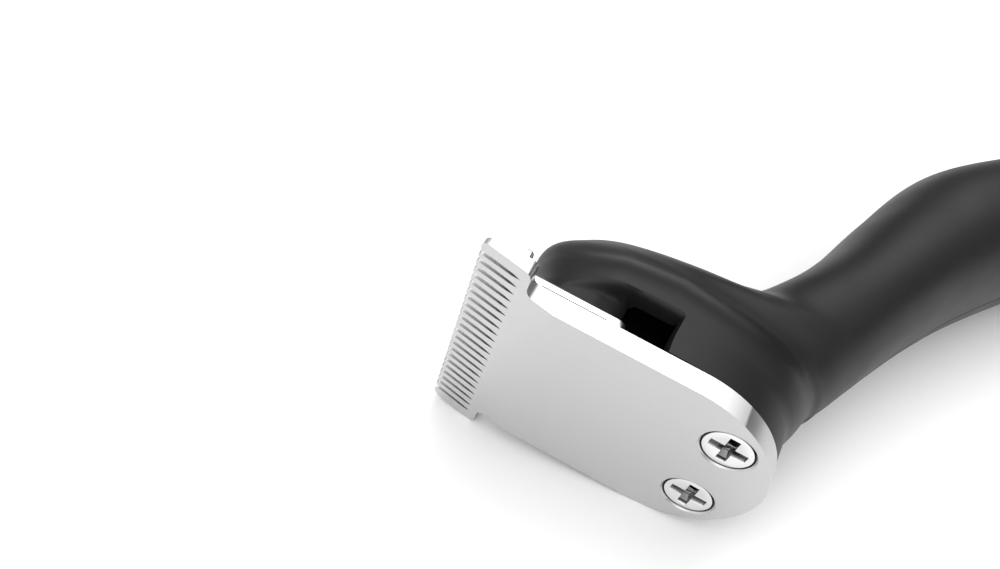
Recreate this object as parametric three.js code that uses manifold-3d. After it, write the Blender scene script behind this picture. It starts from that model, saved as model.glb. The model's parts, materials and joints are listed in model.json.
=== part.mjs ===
// A cordless hair clipper: a wide T-blade on an offset, arched handle.
// Design frame, in millimetres: X runs along the blade plate from its teeth to its tail,
// Y runs from the plate's outer face into the body, and Z is across, with the mirror plane at Z = 0.
// The finished group is turned so that the clipper lies on its side on Z = 0, as it rests on a table.
import * as THREE from 'three';
import { mergeVertices } from 'three/addons/utils/BufferGeometryUtils.js';
import Module from 'manifold-3d';

const wasm = await Module();
wasm.setup();

// ---- driving dimensions -------------------------------------------------------------------
const PITCH = 1.7;               // tooth pitch of the fixed blade
const SLOTS = 22;                // slots between the teeth of the fixed blade
const PLATE_T = 3.5;             // fixed blade thickness
const PLATE_HALF = 15.95;        // half width of the plate behind the T
const T_HALF = 20.1;             // half width of the T at the teeth
const TIP_X = -6.7;              // tooth tips
const T_BACK_X = 1.4;            // back edge of the T
const PLATE_CORNER = 1.2;        // corner radius of the blade's outline
const TAIL_CENTRE_X = 27.5;      // centre of the round tail, whose radius is PLATE_HALF
const BEVEL_X = 5.95;            // where the tooth underside starts to slope
const BEVEL_RISE = 0.19;         // slope of the tooth underside
const SCREW_X = 35.15;           // blade screws, in from the tail
const SCREW_Z = 7.35;
const SCREW_HEAD_R = 3.85;
const GAP = 0.3;                 // clearance between pieces that touch
const CUTTER_T = 1.5;            // moving blade thickness
const CUTTER_HALF = 15.6;        // half width of the moving blade behind its T
const CUTTER_T_HALF = 19.6;
const CUTTER_TIP_X = -2.5;
const CUTTER_T_BACK_X = 0;
const CUTTER_BACK_X = 15.3;
const WALL = 1.7;                // housing wall
const DRIVE_TILT = 61;           // motor axis above the blade plane, in degrees
const MOTOR_FACE = [32.2, 13.6];  // where the motor axis leaves the motor's front face
const MOTOR_R = 8.2;             // motor can radius, cut to two flats
const MOTOR_FLAT = 6.3;          // half thickness over the flats
const MOTOR_L = 25;
const STROKE = 1.0;              // throw of the crank pin, and travel of the moving blade each way
const GRIP_CENTRE = [80, 87];    // centre of the battery bay, on the mirror plane
const GRIP_TILT = 43.4;          // handle direction there, in degrees
const CELL_R = 7.0;              // battery cell
const CELL_L = 49;
const CELL_Y = 0;                // height of the cell's axis in the bay
const BOARD_Y = 7.4;             // underside of the circuit board
const BUTTON_X = -8;
const BUTTON_HALF = [7.5, 4.2];  // half length and half width of the power button
const BUTTON_TOP = 13.9;
const FLANGE_Y = 10.5;           // underside of the button's flange
const LIGHT_X = 8;
const BOSSES = [[12, 14.5], [58, 53.5], [103.5, 107.4]];
const TAIL_CENTRE = [112.4, 113.25];
const TAIL_TILT = 28;            // handle direction at its tail, in degrees
const SOCKET = [4.6, 1.75];      // half length and half height of the charge socket's shell
const SIDES = 36;                // points round a section of the skin
const STEPS = 2;                 // rings between two sections of the skin
const LIE_YAW = -44.0;           // degrees the clipper is turned about Z, chord along X
const LIE_ROLL = 9.58;           // degrees it rolls about X to rest on three points
const LIE_PITCH = 2.03;          // degrees it pitches about Y to rest on three points

// Sections of the housing's outer skin, from the blade to the tail of the handle.
// front and back are the section's two ends on the mirror plane, half its half width,
// widest the fraction from the front where it is widest, round the superellipse powers of
// its front and back halves, and crown how far the front end is lifted out of the plane.
const SKIN = [
  { front: [0.6, 3.8], back: [43.3, 3.8], half: 15.9, widest: 0.54, round: [4.5, 2.25], crown: 0 },
  { front: [0.4, 6.6], back: [43.3, 6.6], half: 15.9, widest: 0.54, round: [4.5, 2.25], crown: 0 },
  { front: [0.1, 9.8], back: [43.5, 9.8], half: 15.85, widest: 0.54, round: [4, 2.25], crown: 0 },
  { front: [-0.4, 13.2], back: [44.4, 13], half: 15.1, widest: 0.54, round: [4.2, 2.25], crown: 0 },
  { front: [-0.9, 17], back: [45.4, 16.4], half: 13.6, widest: 0.54, round: [4.1, 2.2], crown: 0 },
  { front: [0.8, 20.6], back: [46.8, 18.5], half: 13, widest: 0.54, round: [3, 2.2], crown: 0.5 },
  { front: [4.9, 23], back: [47.8, 20.3], half: 13, widest: 0.56, round: [2.5, 2.2], crown: 2.3 },
  { front: [12.6, 24.1], back: [48.9, 22.4], half: 13, widest: 0.57, round: [2.3, 2.1], crown: 3.5 },
  { front: [20.6, 25.2], back: [50.1, 24.9], half: 12.7, widest: 0.54, round: [2.15, 2.1], crown: 2.1 },
  { front: [28, 28.5], back: [51.6, 28], half: 12.3, widest: 0.53, round: [2.1, 2.1], crown: 0.6 },
  { front: [33.9, 35.6], back: [54.7, 34.3], half: 13, widest: 0.52, round: [2.2, 2.1], crown: 0.5 },
  { front: [38.8, 45.5], back: [59.2, 42.8], half: 13.7, widest: 0.52, round: [2.1, 2.1], crown: 0 },
  { front: [43.6, 59], back: [65.3, 52.9], half: 14.6, widest: 0.52, round: [2.1, 2.1], crown: 0 },
  { front: [50.2, 75], back: [73.2, 63.9], half: 15.6, widest: 0.52, round: [2.1, 2.1], crown: 0 },
  { front: [61, 87.2], back: [81.6, 74.6], half: 16.3, widest: 0.52, round: [2.1, 2.1], crown: 0 },
  { front: [72.4, 97.7], back: [90.2, 83.9], half: 16.6, widest: 0.52, round: [2.1, 2.1], crown: 0 },
  { front: [84.6, 107.7], back: [98.6, 90.9], half: 16.3, widest: 0.5, round: [2.1, 2.1], crown: 0 },
  { front: [96.2, 116.2], back: [108.4, 98.2], half: 15.7, widest: 0.5, round: [2.1, 2.1], crown: 0 },
  { front: [107.8, 121.9], back: [117, 104.6], half: 14.2, widest: 0.5, round: [2.1, 2.1], crown: 0 },
];

// ---- colours ------------------------------------------------------------------------------
const finish = (color, roughness, metalness) => new THREE.MeshStandardMaterial({ color, roughness, metalness });
const STEEL = finish(0xc9cbcc, 0.32, 1.0);
const BRIGHT = finish(0xdcdcdc, 0.22, 1.0);
const BLACK = finish(0x26272a, 0.55, 0.0);
const DARK = finish(0x18191b, 0.45, 0.0);
const RUBBER = finish(0x141414, 0.85, 0.0);
const ZINC = finish(0xa7a9aa, 0.4, 1.0);
const BRASS = finish(0xb08d4a, 0.35, 1.0);
const BOARD = finish(0x1d5a36, 0.5, 0.0);
const SLEEVE = finish(0x2a6fb0, 0.4, 0.0);
const LENS = finish(0xe8f0f2, 0.15, 0.0);
const RED = finish(0xa02020, 0.5, 0.0);

// ---- small helpers ------------------------------------------------------------------------
const radians = THREE.MathUtils.degToRad;

// A closed three.js geometry as a manifold solid.
function solid(geometry) {
  const bare = geometry.clone();
  bare.deleteAttribute('normal');
  bare.deleteAttribute('uv');
  const merged = mergeVertices(bare, 1e-4);
  return new wasm.Manifold(new wasm.Mesh({
    numProp: 3,
    vertProperties: new Float32Array(merged.attributes.position.array),
    triVerts: new Uint32Array(merged.index.array),
  }));
}

// A manifold solid as a named mesh.
function part(name, body, material) {
  const result = body.getMesh();
  const geometry = new THREE.BufferGeometry();
  geometry.setAttribute('position', new THREE.BufferAttribute(result.vertProperties, 3));
  geometry.setIndex(new THREE.BufferAttribute(result.triVerts, 1));
  geometry.computeVertexNormals();
  const mesh = new THREE.Mesh(geometry, material);
  mesh.name = name;
  return mesh;
}

const join = (...bodies) => bodies.reduce((a, b) => a.add(b));
const cut = (body, ...tools) => tools.reduce((a, b) => a.subtract(b), body);

// A box given by its lowest and highest corners.
function box([x0, y0, z0], [x1, y1, z1]) {
  const geometry = new THREE.BoxGeometry(x1 - x0, y1 - y0, z1 - z0);
  return solid(geometry.translate((x0 + x1) / 2, (y0 + y1) / 2, (z0 + z1) / 2));
}

// A round bar along an axis, from one coordinate to the other.
function bar(axis, radius, from, to, [a, b] = [0, 0], sides = 24) {
  const geometry = new THREE.CylinderGeometry(radius, radius, to - from, sides);
  const middle = (from + to) / 2;
  if (axis === 'x') return solid(geometry.rotateZ(-Math.PI / 2).translate(middle, a, b));
  if (axis === 'y') return solid(geometry.translate(a, middle, b));
  return solid(geometry.rotateX(Math.PI / 2).translate(a, b, middle));
}

// A plan outline in X and Z, extruded along Y.
function plate(outline, y0, y1, holes = []) {
  const shape = new THREE.Shape(outline.map(([x, z]) => new THREE.Vector2(x, z)));
  shape.holes = holes.map((hole) => new THREE.Path(hole.map(([x, z]) => new THREE.Vector2(x, z))));
  const geometry = new THREE.ExtrudeGeometry(shape, { depth: y1 - y0, bevelEnabled: false });
  return solid(geometry.rotateX(Math.PI / 2).translate(0, y1, 0));
}

// An outline in X and Y, extruded across the whole width of the blades.
function across(outline) {
  const shape = new THREE.Shape(outline.map(([x, y]) => new THREE.Vector2(x, y)));
  return solid(new THREE.ExtrudeGeometry(shape, { depth: 60, bevelEnabled: false }).translate(0, 0, -30));
}

// Points on an arc, in degrees.
function arc([x, z], radius, from, to, steps) {
  const points = [];
  for (let i = 0; i <= steps; i++) {
    const angle = radians(from + ((to - from) * i) / steps);
    points.push([x + radius * Math.cos(angle), z + radius * Math.sin(angle)]);
  }
  return points;
}

const mirrored = (points) => points.map(([x, z]) => [x, -z]).reverse();

// A flat-sided oval, lengthwise in its first coordinate.
function oval(halfLength, halfWidth, [x, z] = [0, 0], steps = 8) {
  const run = halfLength - halfWidth;
  return [...arc([x + run, z], halfWidth, -90, 90, steps), ...arc([x - run, z], halfWidth, 90, 270, steps)];
}

// ---- housing skin -------------------------------------------------------------------------
const ROW = ({ front, back, half, widest, round, crown }) => [...front, ...back, half, widest, ...round, crown];

// Catmull-Rom value of the section table at a fractional section number.
function sectionAt(t) {
  const last = SKIN.length - 1;
  const i = Math.min(Math.floor(t), last - 1);
  const s = t - i;
  const p1 = ROW(SKIN[i]);
  const p2 = ROW(SKIN[i + 1]);
  const p0 = i > 0 ? ROW(SKIN[i - 1]) : p1.map((v, k) => 2 * v - p2[k]);
  const p3 = i < last - 1 ? ROW(SKIN[i + 2]) : p2.map((v, k) => 2 * v - p1[k]);
  return p1.map((v, k) => 0.5 * (2 * v + (p2[k] - p0[k]) * s + (2 * p0[k] - 5 * v + 4 * p2[k] - p3[k]) * s * s
    + (3 * v - p0[k] - 3 * p2[k] + p3[k]) * s ** 3));
}

const power = (value, exponent) => Math.sign(value) * Math.abs(value) ** exponent;

// One closed section of the skin, drawn in from the surface by inset.
function ring(row, inset, sides) {
  const [fx, fy, bx, by, half, widest, roundFront, roundBack, crown] = row;
  const span = new THREE.Vector2(bx - fx, by - fy);
  const along = span.clone().normalize();
  const up = new THREE.Vector2(-along.y, along.x);
  const front = new THREE.Vector2(fx, fy).addScaledVector(along, inset).addScaledVector(up, -inset * (crown > 0.3));
  const back = new THREE.Vector2(bx, by).addScaledVector(along, -inset);
  const middle = front.clone().lerp(back, widest);
  const points = [];
  for (let i = 0; i < sides; i++) {
    const angle = (2 * Math.PI * i) / sides;
    const c = Math.cos(angle);
    const end = c >= 0 ? back.clone().sub(middle) : middle.clone().sub(front);
    const exponent = 2 / (c >= 0 ? roundBack : roundFront);
    const lift = c < 0 ? crown * c * c : 0;
    const p = middle.clone().addScaledVector(end, power(c, exponent)).addScaledVector(up, lift);
    points.push(new THREE.Vector3(p.x, p.y, (half - inset) * power(Math.sin(angle), exponent)));
  }
  return points;
}

// A closed solid through a list of rings.
function loft(rings) {
  const sides = rings[0].length;
  const centre = (points) => points.reduce((a, p) => a.add(p), new THREE.Vector3()).divideScalar(points.length);
  const points = [...rings.flat(), centre(rings[0]), centre(rings.at(-1))];
  const first = points.length - 2;
  const last = points.length - 1;
  const index = [];
  for (let i = 0; i < sides; i++) {
    const j = (i + 1) % sides;
    index.push(first, j, i);
    index.push(last, (rings.length - 1) * sides + i, (rings.length - 1) * sides + j);
    for (let k = 0; k < rings.length - 1; k++) {
      const a = k * sides;
      const b = a + sides;
      index.push(a + i, a + j, b + j, a + i, b + j, b + i);
    }
  }
  const geometry = new THREE.BufferGeometry().setFromPoints(points);
  geometry.setIndex(index);
  const body = solid(geometry);
  return body.volume() > 0 ? body : solid(geometry.setIndex(index.reverse()));
}

function outerSkin() {
  const rings = [];
  for (let k = 0; k <= (SKIN.length - 1) * STEPS; k++) rings.push(ring(sectionAt(k / STEPS), 0, SIDES));
  return loft(rings);
}

// The hollow inside the skin, open at the blade and at the tail.
function hollow() {
  const rings = [];
  const drop = (points, dx, dy) => points.map((p) => new THREE.Vector3(p.x + dx, p.y + dy, p.z));
  const first = ring(sectionAt(0), WALL, SIDES);
  rings.push(drop(first, 0, -2));
  for (let k = 1; k < SKIN.length; k++) {
    rings.push(ring(sectionAt(k - 0.5), WALL, SIDES), ring(sectionAt(k), WALL, SIDES));
  }
  const tail = radians(TAIL_TILT);
  rings.push(drop(rings.at(-1), 3 * Math.cos(tail), 3 * Math.sin(tail)));
  return loft(rings);
}

// The opening over the moving blade: a slot under the hood, and a scoop in each side that
// deepens from nothing at the front until it breaks into the hollow behind the moving blade.
function headOpening() {
  const scoop = [[4, -17], [4, -15.9], [9, -14.6], [13.8, -12.6], [13.8, -6], [21.3, -6], [21.3, -17]];
  const under = box([-8, 0, -25], [15.9, 5.9, 25]);
  const right = plate(scoop, 3, 10.4);
  const left = plate(mirrored(scoop), 3, 10.4);
  return join(under, right, left, box([15, 0, -10], [21.3, 10.4, 10]));
}

// ---- frames on the mirror plane -----------------------------------------------------------
// A group set on the mirror plane with its X axis turned up from the blade plane.
function frameAt([x, y], tilt) {
  const group = new THREE.Group();
  group.position.set(x, y, 0);
  group.rotation.z = radians(tilt);
  group.updateMatrix();
  return group;
}

const place = (body, group) => body.transform(group.matrix.elements.slice());

const drive = frameAt(MOTOR_FACE, DRIVE_TILT);
const grip = frameAt(GRIP_CENTRE, GRIP_TILT);
const tail = frameAt(TAIL_CENTRE, TAIL_TILT);

// ---- blades -------------------------------------------------------------------------------
// Half of a T-shaped plan outline, on the +Z side, from the teeth to the tail.
function fixedHalf() {
  return [
    ...arc([TIP_X + PLATE_CORNER, T_HALF - PLATE_CORNER], PLATE_CORNER, 180, 90, 4),
    ...arc([T_BACK_X - PLATE_CORNER, T_HALF - PLATE_CORNER], PLATE_CORNER, 90, 0, 4),
    ...arc([T_BACK_X + PLATE_CORNER, PLATE_HALF + PLATE_CORNER], PLATE_CORNER, 180, 270, 4),
    ...arc([TAIL_CENTRE_X, 0], PLATE_HALF, 90, 0, 16),
  ];
}

// One slot between two teeth: pointed at its root and widest at the tips.
function toothSlot(z, tipX, rootX, halfRoot, halfTip) {
  return [
    [rootX, z],
    [rootX - 1.1, z + halfRoot],
    [tipX - 1, z + halfTip],
    [tipX - 1, z - halfTip],
    [rootX - 1.1, z - halfRoot],
  ];
}

function slotRow(count, tipX, rootX, halfRoot, halfTip, y0, y1) {
  const slots = [];
  for (let i = 0; i < count; i++) {
    const z = (i - (count - 1) / 2) * PITCH;
    slots.push(plate(toothSlot(z, tipX, rootX, halfRoot, halfTip), y0, y1));
  }
  return join(...slots);
}

function fixedBlade() {
  const half = fixedHalf();
  const blank = plate([...half, ...mirrored(half)], 0, PLATE_T);
  const bevel = across([[BEVEL_X, 0], [BEVEL_X - 20, BEVEL_RISE * 20], [BEVEL_X - 20, -5], [BEVEL_X, -5]]);
  const slots = slotRow(SLOTS, TIP_X, 0, 0.28, 0.46, -1, PLATE_T + 1);
  const seats = [-SCREW_Z, SCREW_Z].flatMap((z) => [
    bar('y', SCREW_HEAD_R + GAP, -1, 2.2, [SCREW_X, z], 32),
    bar('y', 1.7, -1, PLATE_T + 1, [SCREW_X, z], 16),
  ]);
  return part('fixed_blade', cut(blank, bevel, slots, ...seats), STEEL);
}

function movingBlade() {
  const y0 = PLATE_T + GAP;
  const top = y0 + CUTTER_T;
  const half = [
    ...arc([CUTTER_TIP_X + 0.5, CUTTER_T_HALF - 0.5], 0.5, 180, 90, 3),
    [CUTTER_T_BACK_X, CUTTER_T_HALF],
    ...arc([CUTTER_T_BACK_X + 1.2, CUTTER_HALF + 1.2], 1.2, 180, 270, 4),
    ...arc([CUTTER_BACK_X - 1.6, CUTTER_HALF - 1.6], 1.6, 90, 0, 4),
  ];
  const blank = plate([...half, ...mirrored(half)], y0, top);
  const bevelBack = CUTTER_TIP_X + CUTTER_T - 0.1;
  const bevel = across([[bevelBack, top], [CUTTER_TIP_X, y0 + 0.1], [-9, y0 + 0.1], [-9, top + 2], [bevelBack, top + 2]]);
  const slots = slotRow(SLOTS - 1, CUTTER_TIP_X, CUTTER_T_BACK_X - 0.7, 0.3, 0.4, 0, 9);
  const seat = box([6, 0, -3.4], [9.5, 9, 3.4]);
  return part('moving_blade', cut(blank, bevel, slots, seat), BRIGHT);
}

// A countersunk-style flat head screw with a cross recess, head outward along -Y.
function bladeScrew(name, z) {
  const head = bar('y', SCREW_HEAD_R, 0.25, 1.9, [SCREW_X, z], 32);
  const shank = bar('y', 1.4, 1.8, 8.0, [SCREW_X, z], 16);
  const cross = join(
    box([SCREW_X - 2.7, 0, z - 0.65], [SCREW_X + 2.7, 1.2, z + 0.65]),
    box([SCREW_X - 0.65, 0, z - 2.7], [SCREW_X + 0.65, 1.2, z + 2.7]),
  );
  return part(name, cut(join(head, shank), cross), BRIGHT);
}

// The yoke that carries the moving blade: a tongue in the blade's seat and a forked tail
// that stops just below the crank pin.
function camFollower() {
  const y0 = PLATE_T + GAP;
  const top = y0 + CUTTER_T;
  const tongue = box([6.3, y0 + 0.3, -3.1], [9.2, top + 0.5, 3.1]);
  const saddle = box([4.5, top + GAP, -6.5], [13.5, top + 1.5, 6.5]);
  const arm = box([13.4, y0 + 0.3, -3.4], [31.2, top + 0.9, 3.4]);
  const neck = box([12.6, top + GAP, -3.4], [17.6, top + 1.5, 3.4]);
  const clear = box([13.3, 0, -4], [CUTTER_BACK_X + 0.4, top + GAP, 4]);
  const slot = plate(oval(3.2, 1.4, [27.2, 0]), 0, 9);
  return part('cam_follower', cut(join(tongue, saddle, neck, arm), clear, slot), DARK);
}

// Spring plate that presses the moving blade down through the yoke: a bridge and two fingers.
function tensionSpring() {
  const y0 = 8.0;
  const outline = [
    [22.2, -12], [25.6, -12], [25.6, -6.3], [25.6, 6.3], [25.6, 12], [22.2, 12],
    [22.2, 8.2], [6.5, 6.2], [6.5, 4.6], [22.2, 6.0], [22.2, -6.0], [6.5, -4.6], [6.5, -6.2], [22.2, -8.2],
  ];
  return part('tension_spring', plate(outline, y0, y0 + 0.6), ZINC);
}

// Inner block that the blade screws hold the fixed blade to, open in front for the yoke.
function bladeMount() {
  const reach = PLATE_HALF - WALL - 1.0;
  const half = [[21.9, reach], ...arc([TAIL_CENTRE_X, 0], reach, 90, 0, 12)];
  const block = plate([...half, ...mirrored(half)], PLATE_T + GAP, 8.6);
  const channel = box([21, 0, -4.9], [33.6, 12, 4.9]);
  const shelf = box([21, 7.7, -14], [25.9, 12, 14]);
  const holes = [-SCREW_Z, SCREW_Z].map((z) => bar('y', 1.7, 0, 12, [SCREW_X, z], 16));
  return part('blade_mount', cut(block, channel, shelf, ...holes), DARK);
}

// ---- drive, along the X axis of the drive frame --------------------------------------------
// Outline of the motor across its axis: a circle cut to two flats, in Y and Z.
function motorSection(grow = 0) {
  const radius = MOTOR_R + grow;
  const flat = MOTOR_FLAT + grow;
  const side = THREE.MathUtils.radToDeg(Math.asin(flat / radius));
  const right = arc([0, 0], radius, -side, side, 6).map(([z, y]) => [y, z]);
  const left = arc([0, 0], radius, 180 - side, 180 + side, 6).map(([z, y]) => [y, z]);
  return [...right, ...left];
}

// An outline in Y and Z, extruded along X.
function profile(outline, x0, x1) {
  const shape = new THREE.Shape(outline.map(([y, z]) => new THREE.Vector2(-z, y)));
  const geometry = new THREE.ExtrudeGeometry(shape, { depth: x1 - x0, bevelEnabled: false });
  return solid(geometry.rotateY(Math.PI / 2).translate(x0, 0, 0));
}

function motor() {
  const can = cut(profile(motorSection(), 0, MOTOR_L), bar('x', 1.5, -1, MOTOR_L + 1));
  const cap = cut(profile(motorSection(-0.4), MOTOR_L + GAP, MOTOR_L + 2.6), bar('x', 1.5, MOTOR_L, MOTOR_L + 2));
  const bush = cut(bar('x', 2.9, -1.6, -GAP), bar('x', 1.3, -3, 1));
  const shaft = bar('x', 1.0, -4.4, MOTOR_L + 1.6);
  return [
    part('motor_can', can, ZINC),
    part('motor_end_cap', cap, DARK),
    part('motor_bush', bush, BRASS),
    part('motor_shaft', shaft, BRIGHT),
  ];
}

// Crank on the shaft: a round hub with a pin set off centre by the stroke.
function eccentric() {
  const hub = cut(bar('x', 3.1, -5.2, -1.9), bar('x', 1.3, -4.7, 0));
  const pin = bar('x', 0.9, -6.8, -5.1, [STROKE, 0], 16);
  return part('eccentric_cam', join(hub, pin), BRASS);
}

function motorCradle() {
  const outer = profile(motorSection(1.5), 1.0, 5.0);
  return part('motor_cradle', cut(outer, profile(motorSection(GAP), 0, 8)), RUBBER);
}

// ---- inside the handle, in the grip frame ---------------------------------------------------
function battery() {
  const at = [CELL_Y, 0];
  const end = CELL_L / 2;
  const cell = join(bar('x', CELL_R, -end, end, at, 32), bar('x', 2.6, end - 0.1, end + 1.0, at, 16));
  const plus = box([end + 1.3, CELL_Y - 3, -4], [end + 1.8, CELL_Y + 3, 4]);
  const minus = box([-end - 0.8, CELL_Y - 4, -4], [-end - 0.3, CELL_Y + 4, 4]);
  return [
    part('battery_cell', cell, SLEEVE),
    part('battery_tab_plus', plus, BRIGHT),
    part('battery_tab_minus', minus, BRIGHT),
  ];
}

function board() {
  const top = BOARD_Y + 1.0;
  const sheet = box([-18, BOARD_Y, -7.5], [18, top, 7.5]);
  const base = box([BUTTON_X - 3, top + 0.1, -3], [BUTTON_X + 3, top + 1.0, 3]);
  const plunger = bar('y', 1.4, top + 0.9, top + 1.4, [BUTTON_X, 0], 16);
  const chip = box([0, top + 0.1, -3.5], [5, top + 1.2, 3.5]);
  return [
    part('circuit_board', sheet, BOARD),
    part('tact_switch', join(base, plunger), ZINC),
    part('motor_driver_chip', chip, DARK),
  ];
}

function powerButton() {
  const [long, wide] = BUTTON_HALF;
  const cap = plate(oval(long, wide, [BUTTON_X, 0], 10), FLANGE_Y + 0.5, BUTTON_TOP);
  const flange = plate(oval(long + 0.9, wide + 0.9, [BUTTON_X, 0], 10), FLANGE_Y, FLANGE_Y + 0.6);
  return part('power_button', join(cap, flange), DARK);
}

const lightPipe = () => part('charge_light', bar('y', 1.1, BOARD_Y + 1.4, 12.6, [LIGHT_X, 0], 16), LENS);

// Two motor leads from the motor's end cap to the circuit board, along smooth curves.
function motorLeads() {
  const route = (z) => [[46.4, 39.8, z], [48.4, 44, z], [49.8, 51, z], [51.4, 61.5, z], [54.8, 70.8, z], [61.3, 79.1, z]];
  const section = new THREE.Shape(arc([0, 0], 0.6, 0, 315, 7).map(([x, y]) => new THREE.Vector2(x, y)));
  const lead = (z) => {
    const path = new THREE.CatmullRomCurve3(route(z).map((p) => new THREE.Vector3(...p)));
    return solid(new THREE.ExtrudeGeometry(section, { steps: 20, bevelEnabled: false, extrudePath: path }));
  };
  return [part('motor_lead_red', lead(5.4), RED), part('motor_lead_black', lead(-5.4), DARK)];
}

// ---- tail, in the tail frame -----------------------------------------------------------------
// A round-ended bar of the charge socket's section, grown all round, from one X to another.
function socketBar(grow, x0, x1) {
  const [long, high] = SOCKET;
  const offset = long - high;
  const ends = [-offset, offset].map((z) => bar('x', high + grow, x0, x1, [0, z]));
  return join(...ends, box([x0, -high - grow, -offset], [x1, high + grow, offset]));
}

// A dome that carries on the skin past its last section, with a flat end round the socket.
function endCap() {
  const last = ring(sectionAt(SKIN.length - 1), 0, SIDES);
  const inverse = new THREE.Matrix4().copy(tail.matrix).invert();
  const flat = last.map((p) => p.clone().applyMatrix4(inverse));
  const rings = [[GAP, 1], [1.6, 0.985], [3.2, 0.93], [4.4, 0.83], [4.9, 0.72]].map(([x, scale]) =>
    flat.map((p) => new THREE.Vector3(x, p.y * scale, p.z * scale)));
  const spigot = ring(sectionAt(SKIN.length - 1), WALL + GAP, SIDES)
    .map((p) => p.clone().applyMatrix4(inverse));
  const plug = loft([-1.6, 1].map((x) => spigot.map((p) => new THREE.Vector3(x, p.y, p.z))));
  return part('end_cap', cut(join(loft(rings), plug), socketBar(GAP, -9, 9)), DARK);
}

function chargeSocket() {
  const shell = cut(socketBar(0, -5, 4.6), socketBar(-0.35, -4.2, 6));
  const tongue = box([-4.3, -0.35, -3.2], [3.4, 0.35, 3.2]);
  return part('charge_socket', join(shell, tongue), BRIGHT);
}

// ---- housing halves ---------------------------------------------------------------------------
function housing() {
  const skin = outerSkin();
  const posts = BOSSES.map((at) => bar('z', 3.0, -20, 20, at, 20).intersect(skin));
  const walls = join(cut(skin, hollow()), ...posts);
  const [long, wide] = BUTTON_HALF;
  const openings = [
    headOpening(),
    place(plate(oval(long + 0.35, wide + 0.35, [BUTTON_X, 0], 10), 5, 20), grip),
    place(plate(oval(long + 1.3, wide + 1.3, [BUTTON_X, 0], 10), 5, FLANGE_Y + 0.9), grip),
    place(bar('y', 1.4, 5, 20, [LIGHT_X, 0], 16), grip),
    ...BOSSES.map((at) => bar('z', 1.4, -11, 8, at, 16)),
    ...BOSSES.map((at) => bar('z', 2.5, -30, -9.5, at, 20)),
  ];
  const body = cut(walls, ...openings);
  const side = (z0, z1) => cut(body, box([-50, -50, z0], [200, 200, z1]));
  return [
    part('housing_shell_right', side(-60, 0.1), BLACK),
    part('housing_shell_left', side(-0.1, 60), BLACK),
  ];
}

function housingScrew(name, [x, y]) {
  const head = bar('z', 2.1, -11.2, -9.8, [x, y], 20);
  const shank = bar('z', 1.1, -9.9, 7.5, [x, y], 12);
  const cross = join(box([x - 1.3, y - 0.3, -12], [x + 1.3, y + 0.3, -10.6]),
    box([x - 0.3, y - 1.3, -12], [x + 0.3, y + 1.3, -10.6]));
  return part(name, cut(join(head, shank), cross), ZINC);
}

// ---- the whole clipper --------------------------------------------------------------------------
function clipper() {
  const body = new THREE.Group();
  drive.add(...motor(), eccentric(), motorCradle());
  grip.add(...battery(), ...board(), powerButton(), lightPipe());
  tail.add(endCap(), chargeSocket());
  body.add(
    fixedBlade(), movingBlade(), camFollower(), tensionSpring(), bladeMount(),
    bladeScrew('blade_screw_right', SCREW_Z), bladeScrew('blade_screw_left', -SCREW_Z),
    ...housing(), ...motorLeads(),
    ...BOSSES.map((at, i) => housingScrew(`housing_screw_${i + 1}`, at)),
    drive, grip, tail,
  );
  return body;
}

// Lay the clipper on its side and put the middle of its underside at the origin.
function laidDown(body) {
  const yaw = new THREE.Group();
  yaw.rotation.z = radians(LIE_YAW);
  yaw.add(body);
  const lie = new THREE.Group();
  lie.rotation.set(radians(LIE_ROLL), radians(LIE_PITCH), 0);
  lie.add(yaw);
  const bounds = new THREE.Box3().setFromObject(lie, true);
  const centre = bounds.getCenter(new THREE.Vector3());
  lie.position.set(-centre.x, -centre.y, -bounds.min.z);
  return lie;
}

export default laidDown(clipper());
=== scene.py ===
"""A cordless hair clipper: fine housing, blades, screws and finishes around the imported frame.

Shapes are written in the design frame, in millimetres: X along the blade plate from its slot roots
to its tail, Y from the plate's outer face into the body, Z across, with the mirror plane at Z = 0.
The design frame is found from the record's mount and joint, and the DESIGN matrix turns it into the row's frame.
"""

import json
import math

import bmesh
import bpy
import numpy as np
from mathutils import Matrix, Vector


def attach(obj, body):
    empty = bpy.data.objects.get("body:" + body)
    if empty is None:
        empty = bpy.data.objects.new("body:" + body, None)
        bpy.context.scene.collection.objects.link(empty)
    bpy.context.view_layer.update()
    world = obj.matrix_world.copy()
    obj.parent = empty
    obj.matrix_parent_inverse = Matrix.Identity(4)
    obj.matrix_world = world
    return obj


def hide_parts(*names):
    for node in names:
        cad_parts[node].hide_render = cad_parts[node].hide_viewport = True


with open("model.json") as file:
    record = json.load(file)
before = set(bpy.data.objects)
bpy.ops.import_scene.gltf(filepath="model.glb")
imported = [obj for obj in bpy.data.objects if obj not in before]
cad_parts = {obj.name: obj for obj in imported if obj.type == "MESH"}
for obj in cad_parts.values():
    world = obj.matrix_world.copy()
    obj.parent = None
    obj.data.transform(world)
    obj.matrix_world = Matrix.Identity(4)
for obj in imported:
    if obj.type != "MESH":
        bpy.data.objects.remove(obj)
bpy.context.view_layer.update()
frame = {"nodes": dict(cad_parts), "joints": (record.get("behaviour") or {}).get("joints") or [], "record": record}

# ---- design frame -------------------------------------------------------------------------
MM = 0.001
MOUNTS = {mount["name"]: mount for mount in frame["record"]["mounts"]}
JOINTS = {joint["name"]: joint for joint in frame["joints"]}
FACE_MOUNT_X = 20.0                  # the blade_face mount's X

ACROSS = Vector(JOINTS["blade_stroke"]["axis"]).normalized()
INTO = -Vector(MOUNTS["blade_face"]["axis"]).normalized()
ALONG = INTO.cross(ACROSS).normalized()
ORIGIN = Vector(MOUNTS["blade_face"]["pos_m"]) - ALONG * FACE_MOUNT_X * MM
TURN = Matrix((ALONG, INTO, ACROSS)).transposed()
DESIGN = Matrix.Translation(ORIGIN) @ TURN.to_4x4() @ Matrix.Scale(MM, 4)

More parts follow.
